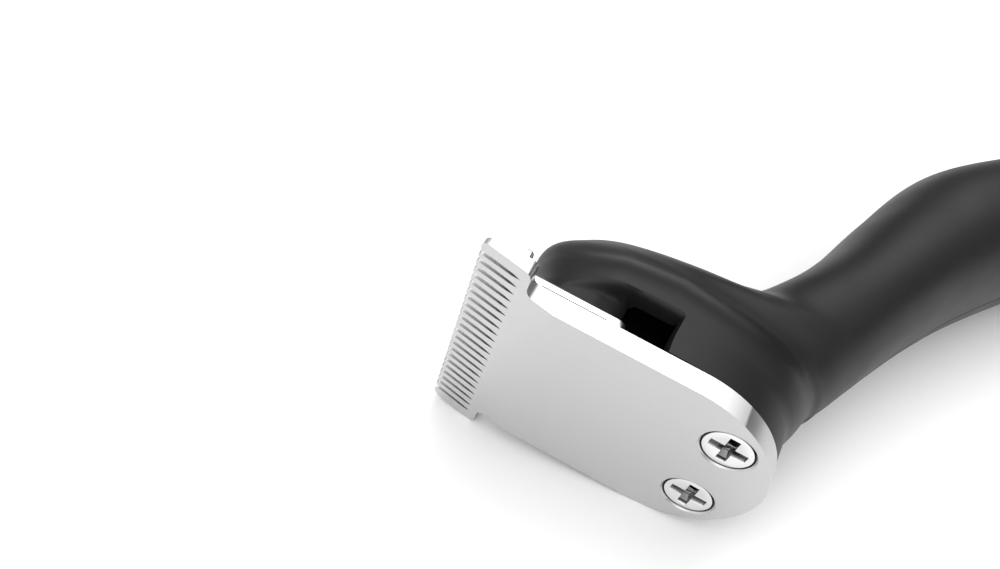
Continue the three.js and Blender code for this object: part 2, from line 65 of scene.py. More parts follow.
# ---- driving dimensions -------------------------------------------------------------------
PITCH = 1.7                          # blades
SLOTS = 22
PLATE_T = 3.5
PLATE_HALF = 15.93
T_HALF = 20.07
TIP_X = -6.68
T_BACK_X = 1.4
PLATE_CORNER = 1.2
TAIL_CENTRE_X = 27.5
BEVEL_X = 5.95
BEVEL_RISE = 0.19
SCREW_X = 35.15
SCREW_Z = 7.35
SCREW_HEAD_R = 3.72
SCREW_HEAD_Y = (0.22, 1.9)           # outer face and underside of the head
SHANK_R = 1.4
SHANK_END_Y = 8.0
SHANK_HOLE_R = 1.8
SEAT_R = 3.98                        # counterbore of a blade screw
SEAT_Y = 2.2
SEAT_RIM = 0.25                      # chamfer round the counterbore
CUTTER_Y = (3.57, 5.3)               # underside and top of the moving blade
CUTTER_HALF = 15.6
CUTTER_T_HALF = 19.7
CUTTER_TIP_X = -2.5
CUTTER_T_BACK_X = 0.0
CUTTER_BACK_X = 15.35
CUTTER_SEAT = [(6, -3.4), (9.5, -3.4), (9.5, 3.4), (6, 3.4)]     # hole for the yoke's tongue
RELIEF = [(2.7, 13.6), (12.4, 13.6), (12.4, 17.0), (2.7, 17.0)]  # undercut along the moving blade's side
RELIEF_T = 0.36

WALL = 1.7                           # housing
SLOT_TOP = 5.9                       # the housing clears the moving blade below this height
WINDOW_X = (13.7, 21.4)              # the window behind the moving blade
WINDOW_TOP = 10.5
HEAD_HALF = 15.9
SHOULDER_R = 8.5                     # how the head's wall rounds in towards the groove
HOOD_HALF = 13.1                     # half width of the hood above the groove
TRIM = 0.08                          # the fine skin lies this far inside the faceted one

GRIP_CENTRE = (80.0, 87.0)           # grip frame
GRIP_TILT = 43.4
BUTTON_X = -8.0
BUTTON_HALF = (7.5, 4.2)
BUTTON_Y = (10.5, 13.9)
FLANGE_T = 0.6
FLANGE_REACH = 0.9                   # how far the button's flange stands out all round
BUTTON_GAP = 0.3
LIGHT_X = 8.0
LIGHT_HOLE_R = 1.2
TAIL_CENTRE = (112.4, 113.25)        # tail frame
TAIL_TILT = 28.0
SOCKET_HALF = (4.6, 1.75)
BOSSES = ((12.0, 14.5), (58.0, 53.5), (103.5, 107.4))
BOSS_HOLE_R = 2.5
BOSS_HOLE_Z = (-30, -10)             # the screws go in from the -Z side
BELOW_WALL, ABOVE_WALL = 5, 20       # heights in the grip frame on either side of the housing's wall

# Sections of the housing's outer skin: front end, back end, half width, where it is widest,
# superellipse powers of its front and back halves, and how far its front end is lifted.
SKIN = [
    (0.6, 3.8, 43.3, 3.8, 15.9, 0.54, 4.5, 2.25, 0),
    (0.4, 6.6, 43.3, 6.6, 15.9, 0.54, 4.5, 2.25, 0),
    (0.1, 9.8, 43.5, 9.8, 15.85, 0.54, 4, 2.25, 0),
    (-0.4, 13.2, 44.4, 13, 15.1, 0.54, 4.2, 2.25, 0),
    (-0.9, 17, 45.4, 16.4, 13.6, 0.54, 4.1, 2.2, 0),
    (0.8, 20.6, 46.8, 18.5, 13, 0.54, 3, 2.2, 0.5),
    (4.9, 23, 47.8, 20.3, 13, 0.56, 2.5, 2.2, 2.3),
    (12.6, 24.1, 48.9, 22.4, 13, 0.57, 2.3, 2.1, 3.5),
    (20.6, 25.2, 50.1, 24.9, 12.7, 0.54, 2.15, 2.1, 2.1),
    (28, 28.5, 51.6, 28, 12.3, 0.53, 2.1, 2.1, 0.6),
    (33.9, 35.6, 54.7, 34.3, 13, 0.52, 2.2, 2.1, 0.5),
    (38.8, 45.5, 59.2, 42.8, 13.7, 0.52, 2.1, 2.1, 0),
    (43.6, 59, 65.3, 52.9, 14.6, 0.52, 2.1, 2.1, 0),
    (50.2, 75, 73.2, 63.9, 15.6, 0.52, 2.1, 2.1, 0),
    (61, 87.2, 81.6, 74.6, 16.3, 0.52, 2.1, 2.1, 0),
    (72.4, 97.7, 90.2, 83.9, 16.6, 0.52, 2.1, 2.1, 0),
    (84.6, 107.7, 98.6, 90.9, 16.3, 0.5, 2.1, 2.1, 0),
    (96.2, 116.2, 108.4, 98.2, 15.7, 0.5, 2.1, 2.1, 0),
    (107.8, 121.9, 117, 104.6, 14.2, 0.5, 2.1, 2.1, 0),
]
GROOVE = ((2, 14.6), (6, 15.2), (11, 16.8), (15.4, 17.6), (20, 18.3), (23.6, 17.9), (28, 17.5), (50, 17.1))
RIDGE = ((2.0, 4.6), (6.0, 7.8), (9.8, 9.65), (12.5, 10.6), (16.5, 10.85), (22.0, 10.85))
SCOOP = ((4.0, 0.0), (7.0, 0.55), (10.0, 1.4), (12.5, 2.5), (13.8, 3.4), (15.2, 1.4), (21.3, 1.3),
         (21.4, 0.0))
FOLD = 0.9                           # height over which the surface folds under the ridge
RINGS = [11, 13, 14, 18, 22, 16, 20, 20, 18, 18, 18, 14, 14, 12, 12, 12, 12, 12]  # rings in each gap
COLUMNS = 150                        # points round half a ring
SEAM_DEPTH = 0.14                    # the parting line between the housing halves
SEAM_HALF = 0.06
PANEL_SHARPNESS = 10.0
PANELS = (                           # azimuth, height and brightness of the light all round
    (45, 60, 3.8), (0, 85, 1.0), (-126, 48, 2.4), (-54, 48, 1.8), (162, 48, 0.7),
    (180, 14, 1.2), (112, 14, 0.8), (-135, 14, 0.4), (-90, 14, 0.3),
)


# ---- meshes -------------------------------------------------------------------------------
def new_object(name, points, faces):
    """A mesh object from points in the design frame, with its faces turned outwards."""
    mesh = bpy.data.meshes.new(name)
    mesh.from_pydata([DESIGN @ Vector(p) for p in points], [], faces)
    shaper = bmesh.new()
    shaper.from_mesh(mesh)
    bmesh.ops.remove_doubles(shaper, verts=shaper.verts, dist=1e-7)
    bmesh.ops.recalc_face_normals(shaper, faces=shaper.faces)
    shaper.to_mesh(mesh)
    shaper.free()
    obj = bpy.data.objects.new(name, mesh)
    bpy.context.scene.collection.objects.link(obj)
    return obj


def apply_modifiers(obj):
    graph = bpy.context.evaluated_depsgraph_get()
    mesh = bpy.data.meshes.new_from_object(obj.evaluated_get(graph))
    obj.modifiers.clear()
    obj.data = mesh


def carve(obj, tools, operation="DIFFERENCE"):
    """Cuts each tool out of obj, or joins it on, and removes the tool."""
    for tool in tools:
        step = obj.modifiers.new("carve", "BOOLEAN")
        step.object = tool
        step.operation = operation
        step.solver = "EXACT"
        apply_modifiers(obj)
        bpy.data.objects.remove(tool)


def soften(obj, width, segments=2, angle=40):
    """Rounds the sharp edges of obj by a width in millimetres."""
    step = obj.modifiers.new("soften", "BEVEL")
    step.width = width * MM
    step.segments = segments
    step.limit_method = "ANGLE"
    step.angle_limit = math.radians(angle)
    apply_modifiers(obj)


def shade(obj, angle=35):
    obj.data.shade_smooth()
    obj.data.set_sharp_from_angle(angle=math.radians(angle))


def arc(centre, radius, start, end, steps):
    angles = [math.radians(start + (end - start) * i / steps) for i in range(steps + 1)]
    return [(centre[0] + radius * math.cos(a), centre[1] + radius * math.sin(a)) for a in angles]


def oval(half_length, half_width, centre=(0, 0), steps=16):
    run = half_length - half_width
    x, z = centre
    return arc((x + run, z), half_width, -90, 90, steps) + arc((x - run, z), half_width, 90, 270, steps)


def tilted(centre, tilt):
    """A function from a point in a frame on the mirror plane to the design frame."""
    c, s = math.cos(math.radians(tilt)), math.sin(math.radians(tilt))

    def to_design(point):
        x, y, z = point
        return (centre[0] + x * c - y * s, centre[1] + x * s + y * c, z)

    return to_design


def straight(point):
    return point


def stack(name, layers, where=straight):
    """A closed solid through outlines of equal length, each a list of points."""
    count = len(layers[0])
    points = [where(p) for layer in layers for p in layer]
    faces = [list(range(count)), list(range((len(layers) - 1) * count, len(layers) * count))]
    for k in range(len(layers) - 1):
        for i in range(count):
            j = (i + 1) % count
            faces.append((k * count + i, k * count + j, (k + 1) * count + j, (k + 1) * count + i))
    return new_object(name, points, faces)


def plate(name, outline, y0, y1, where=straight):
    return stack(name, [[(x, y, z) for x, z in outline] for y in (y0, y1)], where)


def disc(name, centre, radii_and_heights, steps=96, where=straight):
    """A turned solid along Y: a list of (radius, y)."""
    layers = []
    for radius, y in radii_and_heights:
        layers.append([(x, y, z) for x, z in arc(centre, radius, 0, 360 - 360 / steps, steps - 1)])
    return stack(name, layers, where)


# ---- housing skin -------------------------------------------------------------------------
def smooth(value, low, high):
    s = np.clip((value - low) / (high - low), 0, 1)
    return s * s * (3 - 2 * s)


def section(t):
    """Catmull-Rom row of the section table at a fractional section number."""
    rows = np.array(SKIN, float)
    last = len(rows) - 1
    i = min(int(t), last - 1)
    s = t - i
    p1, p2 = rows[i], rows[i + 1]
    p0 = rows[i - 1] if i > 0 else 2 * p1 - p2
    p3 = rows[i + 2] if i < last - 1 else 2 * p2 - p1
    square = 2 * p0 - 5 * p1 + 4 * p2 - p3
    cube = 3 * p1 - p0 - 3 * p2 + p3
    return 0.5 * (2 * p1 + (p2 - p0) * s + square * s**2 + cube * s**3)


def half_ring(t, inset=0.0, count=COLUMNS):
    """Points from the back to the front of half a section, evenly spaced, with outward directions."""
    fx, fy, bx, by, half, widest, round_front, round_back, crown = section(t)
    along = np.array([bx - fx, by - fy]) / math.hypot(bx - fx, by - fy)
    up = np.array([-along[1], along[0]])
    front = np.array([fx, fy]) + along * inset - up * inset * (crown > 0.3)
    back = np.array([bx, by]) - along * inset
    middle = front + (back - front) * widest
    angle = np.linspace(0, math.pi, 1500)
    c, s = np.cos(angle), np.maximum(np.sin(angle), 0)
    power = np.where(c >= 0, 2 / round_back, 2 / round_front)
    reach = np.where(c >= 0, np.linalg.norm(back - middle), np.linalg.norm(middle - front))
    run = reach * np.sign(c) * np.abs(c) ** power
    lift = np.where(c < 0, crown * c * c, 0)
    xy = middle + np.outer(run, along) + np.outer(lift, up)
    dense = np.column_stack([xy, (half - inset) * s**power])
    length = np.concatenate([[0], np.cumsum(np.linalg.norm(np.diff(dense, axis=0), axis=1))])
    where = np.linspace(0, length[-1], count)
    points = np.column_stack([np.interp(where, length, dense[:, k]) for k in range(3)])
    tangent = np.gradient(points, axis=0)
    normal = np.cross(tangent, (*up, 0))
    normal *= np.sign(normal[count // 2, 2]) / np.linalg.norm(normal, axis=1)[:, None]
    return points, normal


def wall_profile(x, y):
    """Half width of the head at a point of its side: a round shoulder that meets the hood in a groove."""
    bend = SHOULDER_R * math.sqrt(0.5)
    drop = y - np.interp(x, *zip(*GROOVE)) + bend
    turned = np.clip(drop, 0, bend)
    shoulder = HEAD_HALF - SHOULDER_R + np.sqrt(SHOULDER_R**2 - turned**2) - np.maximum(drop - bend, 0)
    blend = 2.4 - 0.8 * smooth(x, 9, 24)
    return 0.5 * (shoulder + HOOD_HALF + np.hypot(shoulder - HOOD_HALF, blend))


def groove_step(t, points):
    """How far the surface moves out to follow the head's profile instead of the plain section."""
    x, y = points[:, 0], points[:, 1]
    reach = 1 - smooth(t, 4.9, 6.2)
    fade = (1 - 0.7 * smooth(x, 38, 47)) * smooth(x, 0, 12)
    low = smooth(y, 8.5, 11.0)
    return (wall_profile(x, y) - section(t)[4]) * reach * fade * low


def scoop_depth(points, raise_by=0.0):
    """How far the head's side is scooped in under its soft ridge."""
    x, y = points[:, 0], points[:, 1]
    ridge = np.interp(x, *zip(*RIDGE)) + raise_by
    depth = np.interp(x, *zip(*SCOOP), left=0, right=0)
    return depth * smooth(ridge - y, -0.35, FOLD)


def skin_grid(inset):
    """The skin as an array of rings by columns, on the +Z half."""
    rows = []
    knots = [i + k / n for i, n in enumerate(RINGS) for k in range(n)] + [len(SKIN) - 1]
    for t in knots:
        points, normal = half_ring(t, inset)
        points = points + normal * (groove_step(t, points) - TRIM)[:, None]
        points[:, 2] -= scoop_depth(points, raise_by=0.8 * inset)
        rows.append(points)
    grid = np.array(rows)
    chord = grid[:, -1] - grid[:, 0]
    chord *= SEAM_DEPTH * (inset == 0) / np.linalg.norm(chord, axis=1)[:, None]
    grid[:, 0] += chord
    grid[:, -1] -= chord
    grid[:, (0, -1), 2] = SEAM_HALF
    return grid


def shell_half(name, side):
    """One half of the housing, as a closed solid of even wall thickness."""
    outer, inner = skin_grid(0.0), skin_grid(WALL)
    rings, columns = outer.shape[:2]
    keep = np.ones((rings - 1, columns - 1), bool)
    heights = outer[:, 0, 1]
    x_at = outer[12, :, 0]
    low = int(np.argmin(abs(heights - SLOT_TOP)))
    high = int(np.argmin(abs(heights - WINDOW_TOP)))
    keep[:low, x_at[:-1] < WINDOW_X[0]] = False
    keep[:high, (x_at[:-1] >= WINDOW_X[0]) & (x_at[:-1] < WINDOW_X[1])] = False
    points = np.concatenate([outer.reshape(-1, 3), inner.reshape(-1, 3)])
    points[:, 2] *= side
    shift = rings * columns
    faces, edges = [], {}
    for r, c in zip(*np.nonzero(keep)):
        a = int(r * columns + c)
        quad = (a, a + 1, a + 1 + columns, a + columns)
        faces += [quad, tuple(v + shift for v in reversed(quad))]
        for k in range(4):
            edge = (quad[k], quad[(k + 1) % 4])
            edges[tuple(sorted(edge))] = edges.get(tuple(sorted(edge)), 0) + 1
    faces += [(a, b, b + shift, a + shift) for (a, b), uses in edges.items() if uses == 1]
    used = sorted({v for face in faces for v in face})
    number = {v: i for i, v in enumerate(used)}
    return new_object(name, points[used].tolist(), [[number[v] for v in face] for face in faces])


GRIP = tilted(GRIP_CENTRE, GRIP_TILT)
TAIL = tilted(TAIL_CENTRE, TAIL_TILT)


def button_outline(grow):
    long, wide = BUTTON_HALF
    return oval(long + grow, wide + grow, (BUTTON_X, 0), 24)


def housing():
    """Both halves of the housing, with the openings for the button, the light and the screws."""
    halves = []
    for name, side in (("housing_right", 1), ("housing_left", -1)):
        half = shell_half(name, side)
        flange = FLANGE_REACH + BUTTON_GAP
        tools = [
            plate("hole", button_outline(BUTTON_GAP), BELOW_WALL, ABOVE_WALL, GRIP),
            plate("hole", button_outline(flange), BELOW_WALL, BUTTON_Y[0] + FLANGE_T + BUTTON_GAP, GRIP),
            disc("hole", (LIGHT_X, 0), [(LIGHT_HOLE_R, BELOW_WALL), (LIGHT_HOLE_R, ABOVE_WALL)], 48, GRIP),
        ]
        if side < 0:
            for x, y in BOSSES:
                circle = arc((x, y), BOSS_HOLE_R, 0, 352.5, 47)
                tools.append(stack("hole", [[(px, py, z) for px, py in circle] for z in BOSS_HOLE_Z]))
        carve(half, tools)
        shade(half)
        halves.append(half)
    return halves


# ---- blades -------------------------------------------------------------------------------
def comb(count, tip_x, root_x, half_root, half_tip):
    """Tooth line from +Z to -Z: slots that are pointed at their roots."""
    taper = min(1.3, 0.35 * (root_x - tip_x))
    line = []
    for i in range(count):
        z = ((count - 1) / 2 - i) * PITCH
        line += [
            (tip_x + 0.15, z + half_tip + 0.06), (tip_x + 0.35, z + half_tip - 0.02),
            (root_x - taper, z + half_root), (root_x - 0.35 * taper, z + 0.55 * half_root), (root_x, z),
            (root_x - 0.35 * taper, z - 0.55 * half_root), (root_x - taper, z - half_root),
            (tip_x + 0.35, z - half_tip + 0.02), (tip_x + 0.15, z - half_tip - 0.06),
        ]
        if i < count - 1:
            line += [(tip_x, z - PITCH / 2 + 0.25), (tip_x, z - PITCH / 2 - 0.25)]
    return line


def mirrored(points):
    return [(x, -z) for x, z in reversed(points)]


def fixed_blade():
    corner = PLATE_CORNER
    side = [
        *arc((TAIL_CENTRE_X, 0), PLATE_HALF, 0, 90, 48),
        *reversed(arc((T_BACK_X + corner, PLATE_HALF + corner), corner, 180, 270, 8)),
        *arc((T_BACK_X - corner, T_HALF - corner), corner, 0, 90, 8),
        *arc((TIP_X + corner, T_HALF - corner), corner, 90, 180, 8),
    ]
    outline = side + comb(SLOTS, TIP_X, 0, 0.28, 0.43) + mirrored(side)[:-1]
    blade = plate("fixed_blade_fine", outline, 0, PLATE_T)
    slope = [(BEVEL_X, 0), (BEVEL_X - 20, BEVEL_RISE * 20), (BEVEL_X - 20, -5), (BEVEL_X, -5)]
    tools = [stack("hole", [[(x, y, z) for x, y in slope] for z in (-30, 30)])]
    for z in (-SCREW_Z, SCREW_Z):
        rim = SEAT_R + SEAT_RIM
        seat = [(rim, -1), (rim, 0.01), (SEAT_R, SEAT_RIM + 0.05), (SEAT_R, SEAT_Y)]
        tools.append(disc("hole", (SCREW_X, z), seat))
        tools.append(disc("hole", (SCREW_X, z), [(SHANK_HOLE_R, -1), (SHANK_HOLE_R, PLATE_T + 1)], 48))
    carve(blade, tools)
    soften(blade, 0.09)
    shade(blade)
    return blade


def drawn_in(outline, width):
    """An outline moved inwards by a width; its points run anticlockwise in X and Z."""
    moved = []
    for k, (x, z) in enumerate(outline):
        (x0, z0), (x1, z1) = outline[k - 1], outline[(k + 1) % len(outline)]
        before = Vector((z0 - z, x - x0)).normalized()
        after = Vector((z - z1, x1 - x)).normalized()
        step = (before + after) * (width / (1 + before.dot(after)))
        moved.append((x + step.x, z + step.y))
    return moved


def moving_blade():
    side = [
        *arc((CUTTER_BACK_X - 1.6, CUTTER_HALF - 1.6), 1.6, 0, 90, 12),
        *reversed(arc((CUTTER_T_BACK_X + 1.2, CUTTER_HALF + 1.2), 1.2, 180, 270, 8)),
        *arc((CUTTER_T_BACK_X - 0.6, CUTTER_T_HALF - 0.6), 0.6, 0, 90, 5),
        *arc((CUTTER_TIP_X + 0.6, CUTTER_T_HALF - 0.6), 0.6, 90, 180, 5),
    ]
    teeth = comb(SLOTS - 1, CUTTER_TIP_X, CUTTER_T_BACK_X - 0.7, 0.26, 0.4)
    outline = side + teeth + mirrored(side)
    low, high = CUTTER_Y
    rim = [(0.0, low)]
    rim += [(0.5 * (1 - math.cos(a)), high - 0.5 * (1 - math.sin(a))) for a in np.linspace(0, math.pi / 2, 7)]
    layers = []
    for width, y in rim:
        edge = drawn_in(outline, width)
        edge[len(side):len(side) + len(teeth)] = teeth
        layers.append([(x, y, z) for x, z in edge])
    blade = stack("moving_blade_fine", layers)
    back = CUTTER_TIP_X + high - low - 0.15
    slope = [(back, high), (CUTTER_TIP_X, low + 0.15), (-8, low + 0.15), (-8, high + 2), (back, high + 2)]
    tools = [stack("hole", [[(x, y, z) for x, y in slope] for z in (-30, 30)])]
    tools.append(plate("hole", CUTTER_SEAT, low - 1, high + 1))
    for outline in (RELIEF, mirrored(RELIEF)):
        tools.append(plate("hole", outline, low - 1, low + RELIEF_T))
    carve(blade, tools)
    soften(blade, 0.05)
    shade(blade)
    return blade


def blade_screw(name, z):
    """A flat-headed screw with a cross recess, its head towards -Y."""
    radius = SCREW_HEAD_R
    face, under = SCREW_HEAD_Y
    head = [(radius - 0.22, face), (radius - 0.07, face + 0.05), (radius, face + 0.2), (radius, under)]
    shank = [(SHANK_R, under), (SHANK_R, SHANK_END_Y)]
    screw = disc(name, (SCREW_X, z), head + shank)
    reach, half = 2.85, 0.8          # half length and half width of the recess's two bars
    tools = []
    for turn in (0, 1):
        layers = []
        for y, a, b in ((-0.5, reach, half), (0.9, reach - 0.1, half - 0.08), (1.6, reach - 0.9, half - 0.3)):
            outline = [(-a, -b), (a, -b), (a, b), (-a, b)]
            if turn:
                outline = [(-w, v) for v, w in outline]
            layers.append([(SCREW_X + v, y, z + w) for v, w in outline])
        tools.append(stack("hole", layers))
    carve(screw, tools)
    soften(screw, 0.06, angle=50)
    shade(screw)
    return screw


# ---- button and end cap -------------------------------------------------------------------
def button_layers(rim):
    """Layers of the button in the grip frame, from a list of (inset, height)."""
    return [[(x, y, z) for x, z in button_outline(-inset)] for inset, y in rim]


def power_button():
    low, top = BUTTON_Y
    edge, radius = top - 0.9, 0.8    # where the side starts to round over, and how tightly
    rim = [(-FLANGE_REACH, low), (-FLANGE_REACH, low + FLANGE_T), (0.0, low + FLANGE_T), (0.0, edge)]
    for a in np.linspace(0.2, math.pi / 2, 7):
        rim.append((radius * (1 - math.cos(a)), edge + radius * math.sin(a)))
    rim += [(1.5, top - 0.12), (2.4, top - 0.3), (3.2, top - 0.4), (3.9, top - 0.44)]
    button = stack("power_button_fine", button_layers(rim), GRIP)
    shade(button, 50)
    return button


def end_cap():
    """A dome that carries on the skin, with a flat end round the charge socket."""
    inverse = Matrix.Rotation(math.radians(-TAIL_TILT), 3, "Z")

    def in_tail(points):
        return [inverse @ Vector((p[0] - TAIL_CENTRE[0], p[1] - TAIL_CENTRE[1], p[2])) for p in points]

    def full(inset):
        points, _ = half_ring(len(SKIN) - 1, inset, 80)
        return in_tail(np.concatenate([points, (points * (1, 1, -1))[-2:0:-1]]))

    outline = full(0.0)
    layers = [[(-1.6, p.y, p.z) for p in full(WALL + 0.3)], [(0.25, p.y, p.z) for p in full(WALL + 0.3)]]
    profile = [(0.25, 0.985), (0.4, 0.992), (0.9, 0.992)]
    for a in np.linspace(0.12, math.pi / 2, 14):
        profile.append((0.9 + 3.9 * math.sin(a), 0.992 - 0.27 * (1 - math.cos(a))))
    layers += [[(x, p.y * scale, p.z * scale) for p in outline] for x, scale in profile]
    cap = stack("end_cap_fine", layers, TAIL)
    long, high = SOCKET_HALF
    mouth = [[(x, y, z) for z, y in oval(long + 0.2, high + 0.2, (0, 0), 16)] for x in (-9, 9)]
    carve(cap, [stack("hole", mouth, TAIL)])
    soften(cap, 0.12, angle=60)
    shade(cap)
    return cap


# ---- finishes -----------------------------------------------------------------------------
class Finish:
    """A node material on a Principled shader, textured in the design frame in millimetres."""

    def __init__(self, name, colour, roughness, **sockets):
        self.material = bpy.data.materials.new(name)
        self.material.use_nodes = True
        self.tree = self.material.node_tree
        self.shader = self.tree.nodes["Principled BSDF"]
        self.colour = colour
        self.roughness = roughness
        for socket, value in sockets.items():
            self.shader.inputs[socket.replace("_", " ")].default_value = value
        self.place = self.node("ShaderNodeMapping")
        back = TURN.transposed()
        self.place.inputs["Rotation"].default_value = back.to_euler("XYZ")
        self.place.inputs["Location"].default_value = -(back @ ORIGIN) / MM
        self.place.inputs["Scale"].default_value = (1 / MM,) * 3
        self.join(self.node("ShaderNodeTexCoord").outputs["Object"], self.place.inputs["Vector"])

    def node(self, kind, **settings):
        made = self.tree.nodes.new(kind)
        for key, value in settings.items():
            setattr(made, key, value)
        return made

    def join(self, output, socket):
        self.tree.links.new(output, socket)

    def noise(self, scale, detail=3.0, stretch=(1, 1, 1)):
        """Noise of about 1/scale millimetres, stretched along the design axes."""
        pull = self.node("ShaderNodeVectorMath", operation="MULTIPLY")
        pull.inputs[1].default_value = stretch
        self.join(self.place.outputs["Vector"], pull.inputs[0])
        made = self.node("ShaderNodeTexNoise")
        made.inputs["Scale"].default_value = scale
        made.inputs["Detail"].default_value = detail
        self.join(pull.outputs["Vector"], made.inputs["Vector"])
        return made.outputs["Fac"]

    def between(self, factor, low, high):
        """A number that runs from low to high as the factor runs over the middle of its range."""
        made = self.node("ShaderNodeMapRange")
        made.inputs["From Min"].default_value = 0.3
        made.inputs["From Max"].default_value = 0.7
        made.inputs["To Min"].default_value = low
        made.inputs["To Max"].default_value = high
        self.join(factor, made.inputs["Value"])
        return made.outputs["Result"]

    def tint(self, factor, spread):
        """Colour that varies round the finish's own colour by a share."""
        mix = self.node("ShaderNodeMix", data_type="RGBA")
        self.join(factor, mix.inputs["Factor"])
        mix.inputs["A"].default_value = (*[c * (1 - spread) for c in self.colour], 1)
        mix.inputs["B"].default_value = (*[min(c * (1 + spread), 1) for c in self.colour], 1)
        self.join(mix.outputs["Result"], self.shader.inputs["Base Color"])

    def paint_recess_shade(self, start, end, share):
        """Paints shade into a recess: darkens the colour to a share of it between two depths in Y."""
        apart = self.node("ShaderNodeSeparateXYZ")
        self.join(self.place.outputs["Vector"], apart.inputs["Vector"])
        level = self.node("ShaderNodeMapRange")
        for socket, value in (("From Min", start), ("From Max", end), ("To Min", 1.0), ("To Max", share)):
            level.inputs[socket].default_value = value
        self.join(apart.outputs["Y"], level.inputs["Value"])
        scaled = self.node("ShaderNodeVectorMath", operation="SCALE")
        self.join(self.shader.inputs["Base Color"].links[0].from_socket, scaled.inputs[0])
        self.join(level.outputs["Result"], scaled.inputs["Scale"])
        self.join(scaled.outputs["Vector"], self.shader.inputs["Base Color"])

    def vary_roughness(self, factor, spread):
        self.join(self.between(factor, self.roughness - spread, self.roughness + spread),
                  self.shader.inputs["Roughness"])

    def bump(self, factor, height, below=None):
        """Raises the surface by a height in millimetres."""
        made = self.node("ShaderNodeBump")
        made.inputs["Strength"].default_value = 1.0
        made.inputs["Distance"].default_value = height * MM
        self.join(factor, made.inputs["Height"])
        if below:
            self.join(below, made.inputs["Normal"])
        self.join(made.outputs["Normal"], self.shader.inputs["Normal"])
        return made.outputs["Normal"]


def moulded(name, colour, roughness, grain=0.004, spread=0.08, **sockets):
    """Moulded plastic or rubber: a fine even grain over slow changes of colour and gloss."""
    finish = Finish(name, colour, roughness, **sockets)
    finish.tint(finish.noise(0.05, 4), spread)
    finish.vary_roughness(finish.noise(0.12, 5), 0.04)
    slow = finish.bump(finish.noise(0.25, 2), 0.008)
    finish.bump(finish.noise(4.5, 2), grain, slow)
    return finish.material


def ground(name, colour, roughness, grain=0.0015, stretch=(0.12, 1, 1), recess=None, **sockets):
    """Ground or blasted metal, with fine lines where the stretch is uneven, and painted shade in its recess."""
    finish = Finish(name, colour, roughness, Metallic=1.0, **sockets)
    lines = finish.noise(5.0, 4, stretch)
    finish.tint(lines, 0.035)
    finish.vary_roughness(finish.noise(0.35, 5), 0.03)
    finish.bump(lines, grain)
    # painted shade: the colour darkens deeper in Y, inside the recess
    if recess:
        finish.paint_recess_shade(*recess)
    return finish.material


def coloured(name, colour, roughness, spread=0.12, **sockets):
    """A painted, sleeved or printed surface with a slight mottle."""
    finish = Finish(name, colour, roughness, **sockets)
    finish.tint(finish.noise(0.8, 4), spread)
    finish.vary_roughness(finish.noise(0.6, 3), 0.05)
    finish.bump(finish.noise(1.5, 3), 0.003)
    return finish.material


SOFT_BLACK = moulded("soft_black", (0.0105, 0.0105, 0.011), 0.45, Specular_IOR_Level=0.24)
BUTTON_BLACK = moulded("button_black", (0.022, 0.022, 0.023), 0.4, grain=0.002)
CAP_BLACK = moulded("cap_black", (0.026, 0.026, 0.027), 0.42, grain=0.006)
INNER_BLACK = moulded("inner_black", (0.03, 0.03, 0.03), 0.5)
RUBBER = moulded("rubber", (0.012, 0.012, 0.012), 0.75)
PLATE_STEEL = ground("plate_steel", (0.56, 0.56, 0.563), 0.36, stretch=(1, 1, 0.25))
CUTTER_STEEL = ground("cutter_steel", (0.74, 0.74, 0.745), 0.26)
# painted shade in the cross recess: the screw's colour falls to 0.4 of itself between Y 0.3 and 0.8 mm
SCREW_STEEL = ground("screw_steel", (0.78, 0.78, 0.78), 0.24, stretch=(1, 1, 1), grain=0.0008,
                     recess=(0.3, 0.8, 0.4))
SHAFT_STEEL = ground("shaft_steel", (0.75, 0.75, 0.76), 0.2)
SPRING_STEEL = ground("spring_steel", (0.5, 0.5, 0.5), 0.3)
DARK_ZINC = ground("dark_zinc", (0.16, 0.16, 0.165), 0.34, stretch=(1, 1, 1))
MOTOR_ZINC = ground("motor_zinc", (0.55, 0.55, 0.56), 0.32, stretch=(1, 1, 0.3))
BRASS = ground("brass", (0.72, 0.53, 0.24), 0.28)
SLEEVE = coloured("cell_sleeve", (0.06, 0.2, 0.42), 0.35)
BOARD = coloured("board_green", (0.02, 0.13, 0.05), 0.35)
RED = coloured("lead_red", (0.42, 0.02, 0.02), 0.4)
LENS = coloured("light_pipe", (0.72, 0.76, 0.74), 0.25, spread=0.05)

CAD_FINISHES = {
    "cam_follower": INNER_BLACK, "tension_spring": SPRING_STEEL, "blade_mount": INNER_BLACK,
    "motor_lead_red": RED, "motor_lead_black": INNER_BLACK, "motor_can": MOTOR_ZINC,
    "motor_end_cap": INNER_BLACK, "motor_bush": BRASS, "motor_shaft": SHAFT_STEEL,
    "eccentric_cam": BRASS, "motor_cradle": RUBBER, "battery_cell": SLEEVE,
    "battery_tab_plus": SPRING_STEEL, "battery_tab_minus": SPRING_STEEL, "circuit_board": BOARD,
    "tact_switch": SPRING_STEEL, "motor_driver_chip": INNER_BLACK, "charge_light": LENS,
    "charge_socket": SPRING_STEEL, "housing_screw_1": DARK_ZINC, "housing_screw_2": DARK_ZINC,
    "housing_screw_3": DARK_ZINC,
}


def give(obj, material):
    obj.data.materials.clear()
    obj.data.materials.append(material)


# ---- the clipper --------------------------------------------------------------------------
def stand_for(obj, material, body, slot, *nodes):
    """Finishes a fine piece, puts it on its body and hides the plain nodes that it stands for."""
    give(obj, material)
    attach(obj, body)
    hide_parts(*nodes)


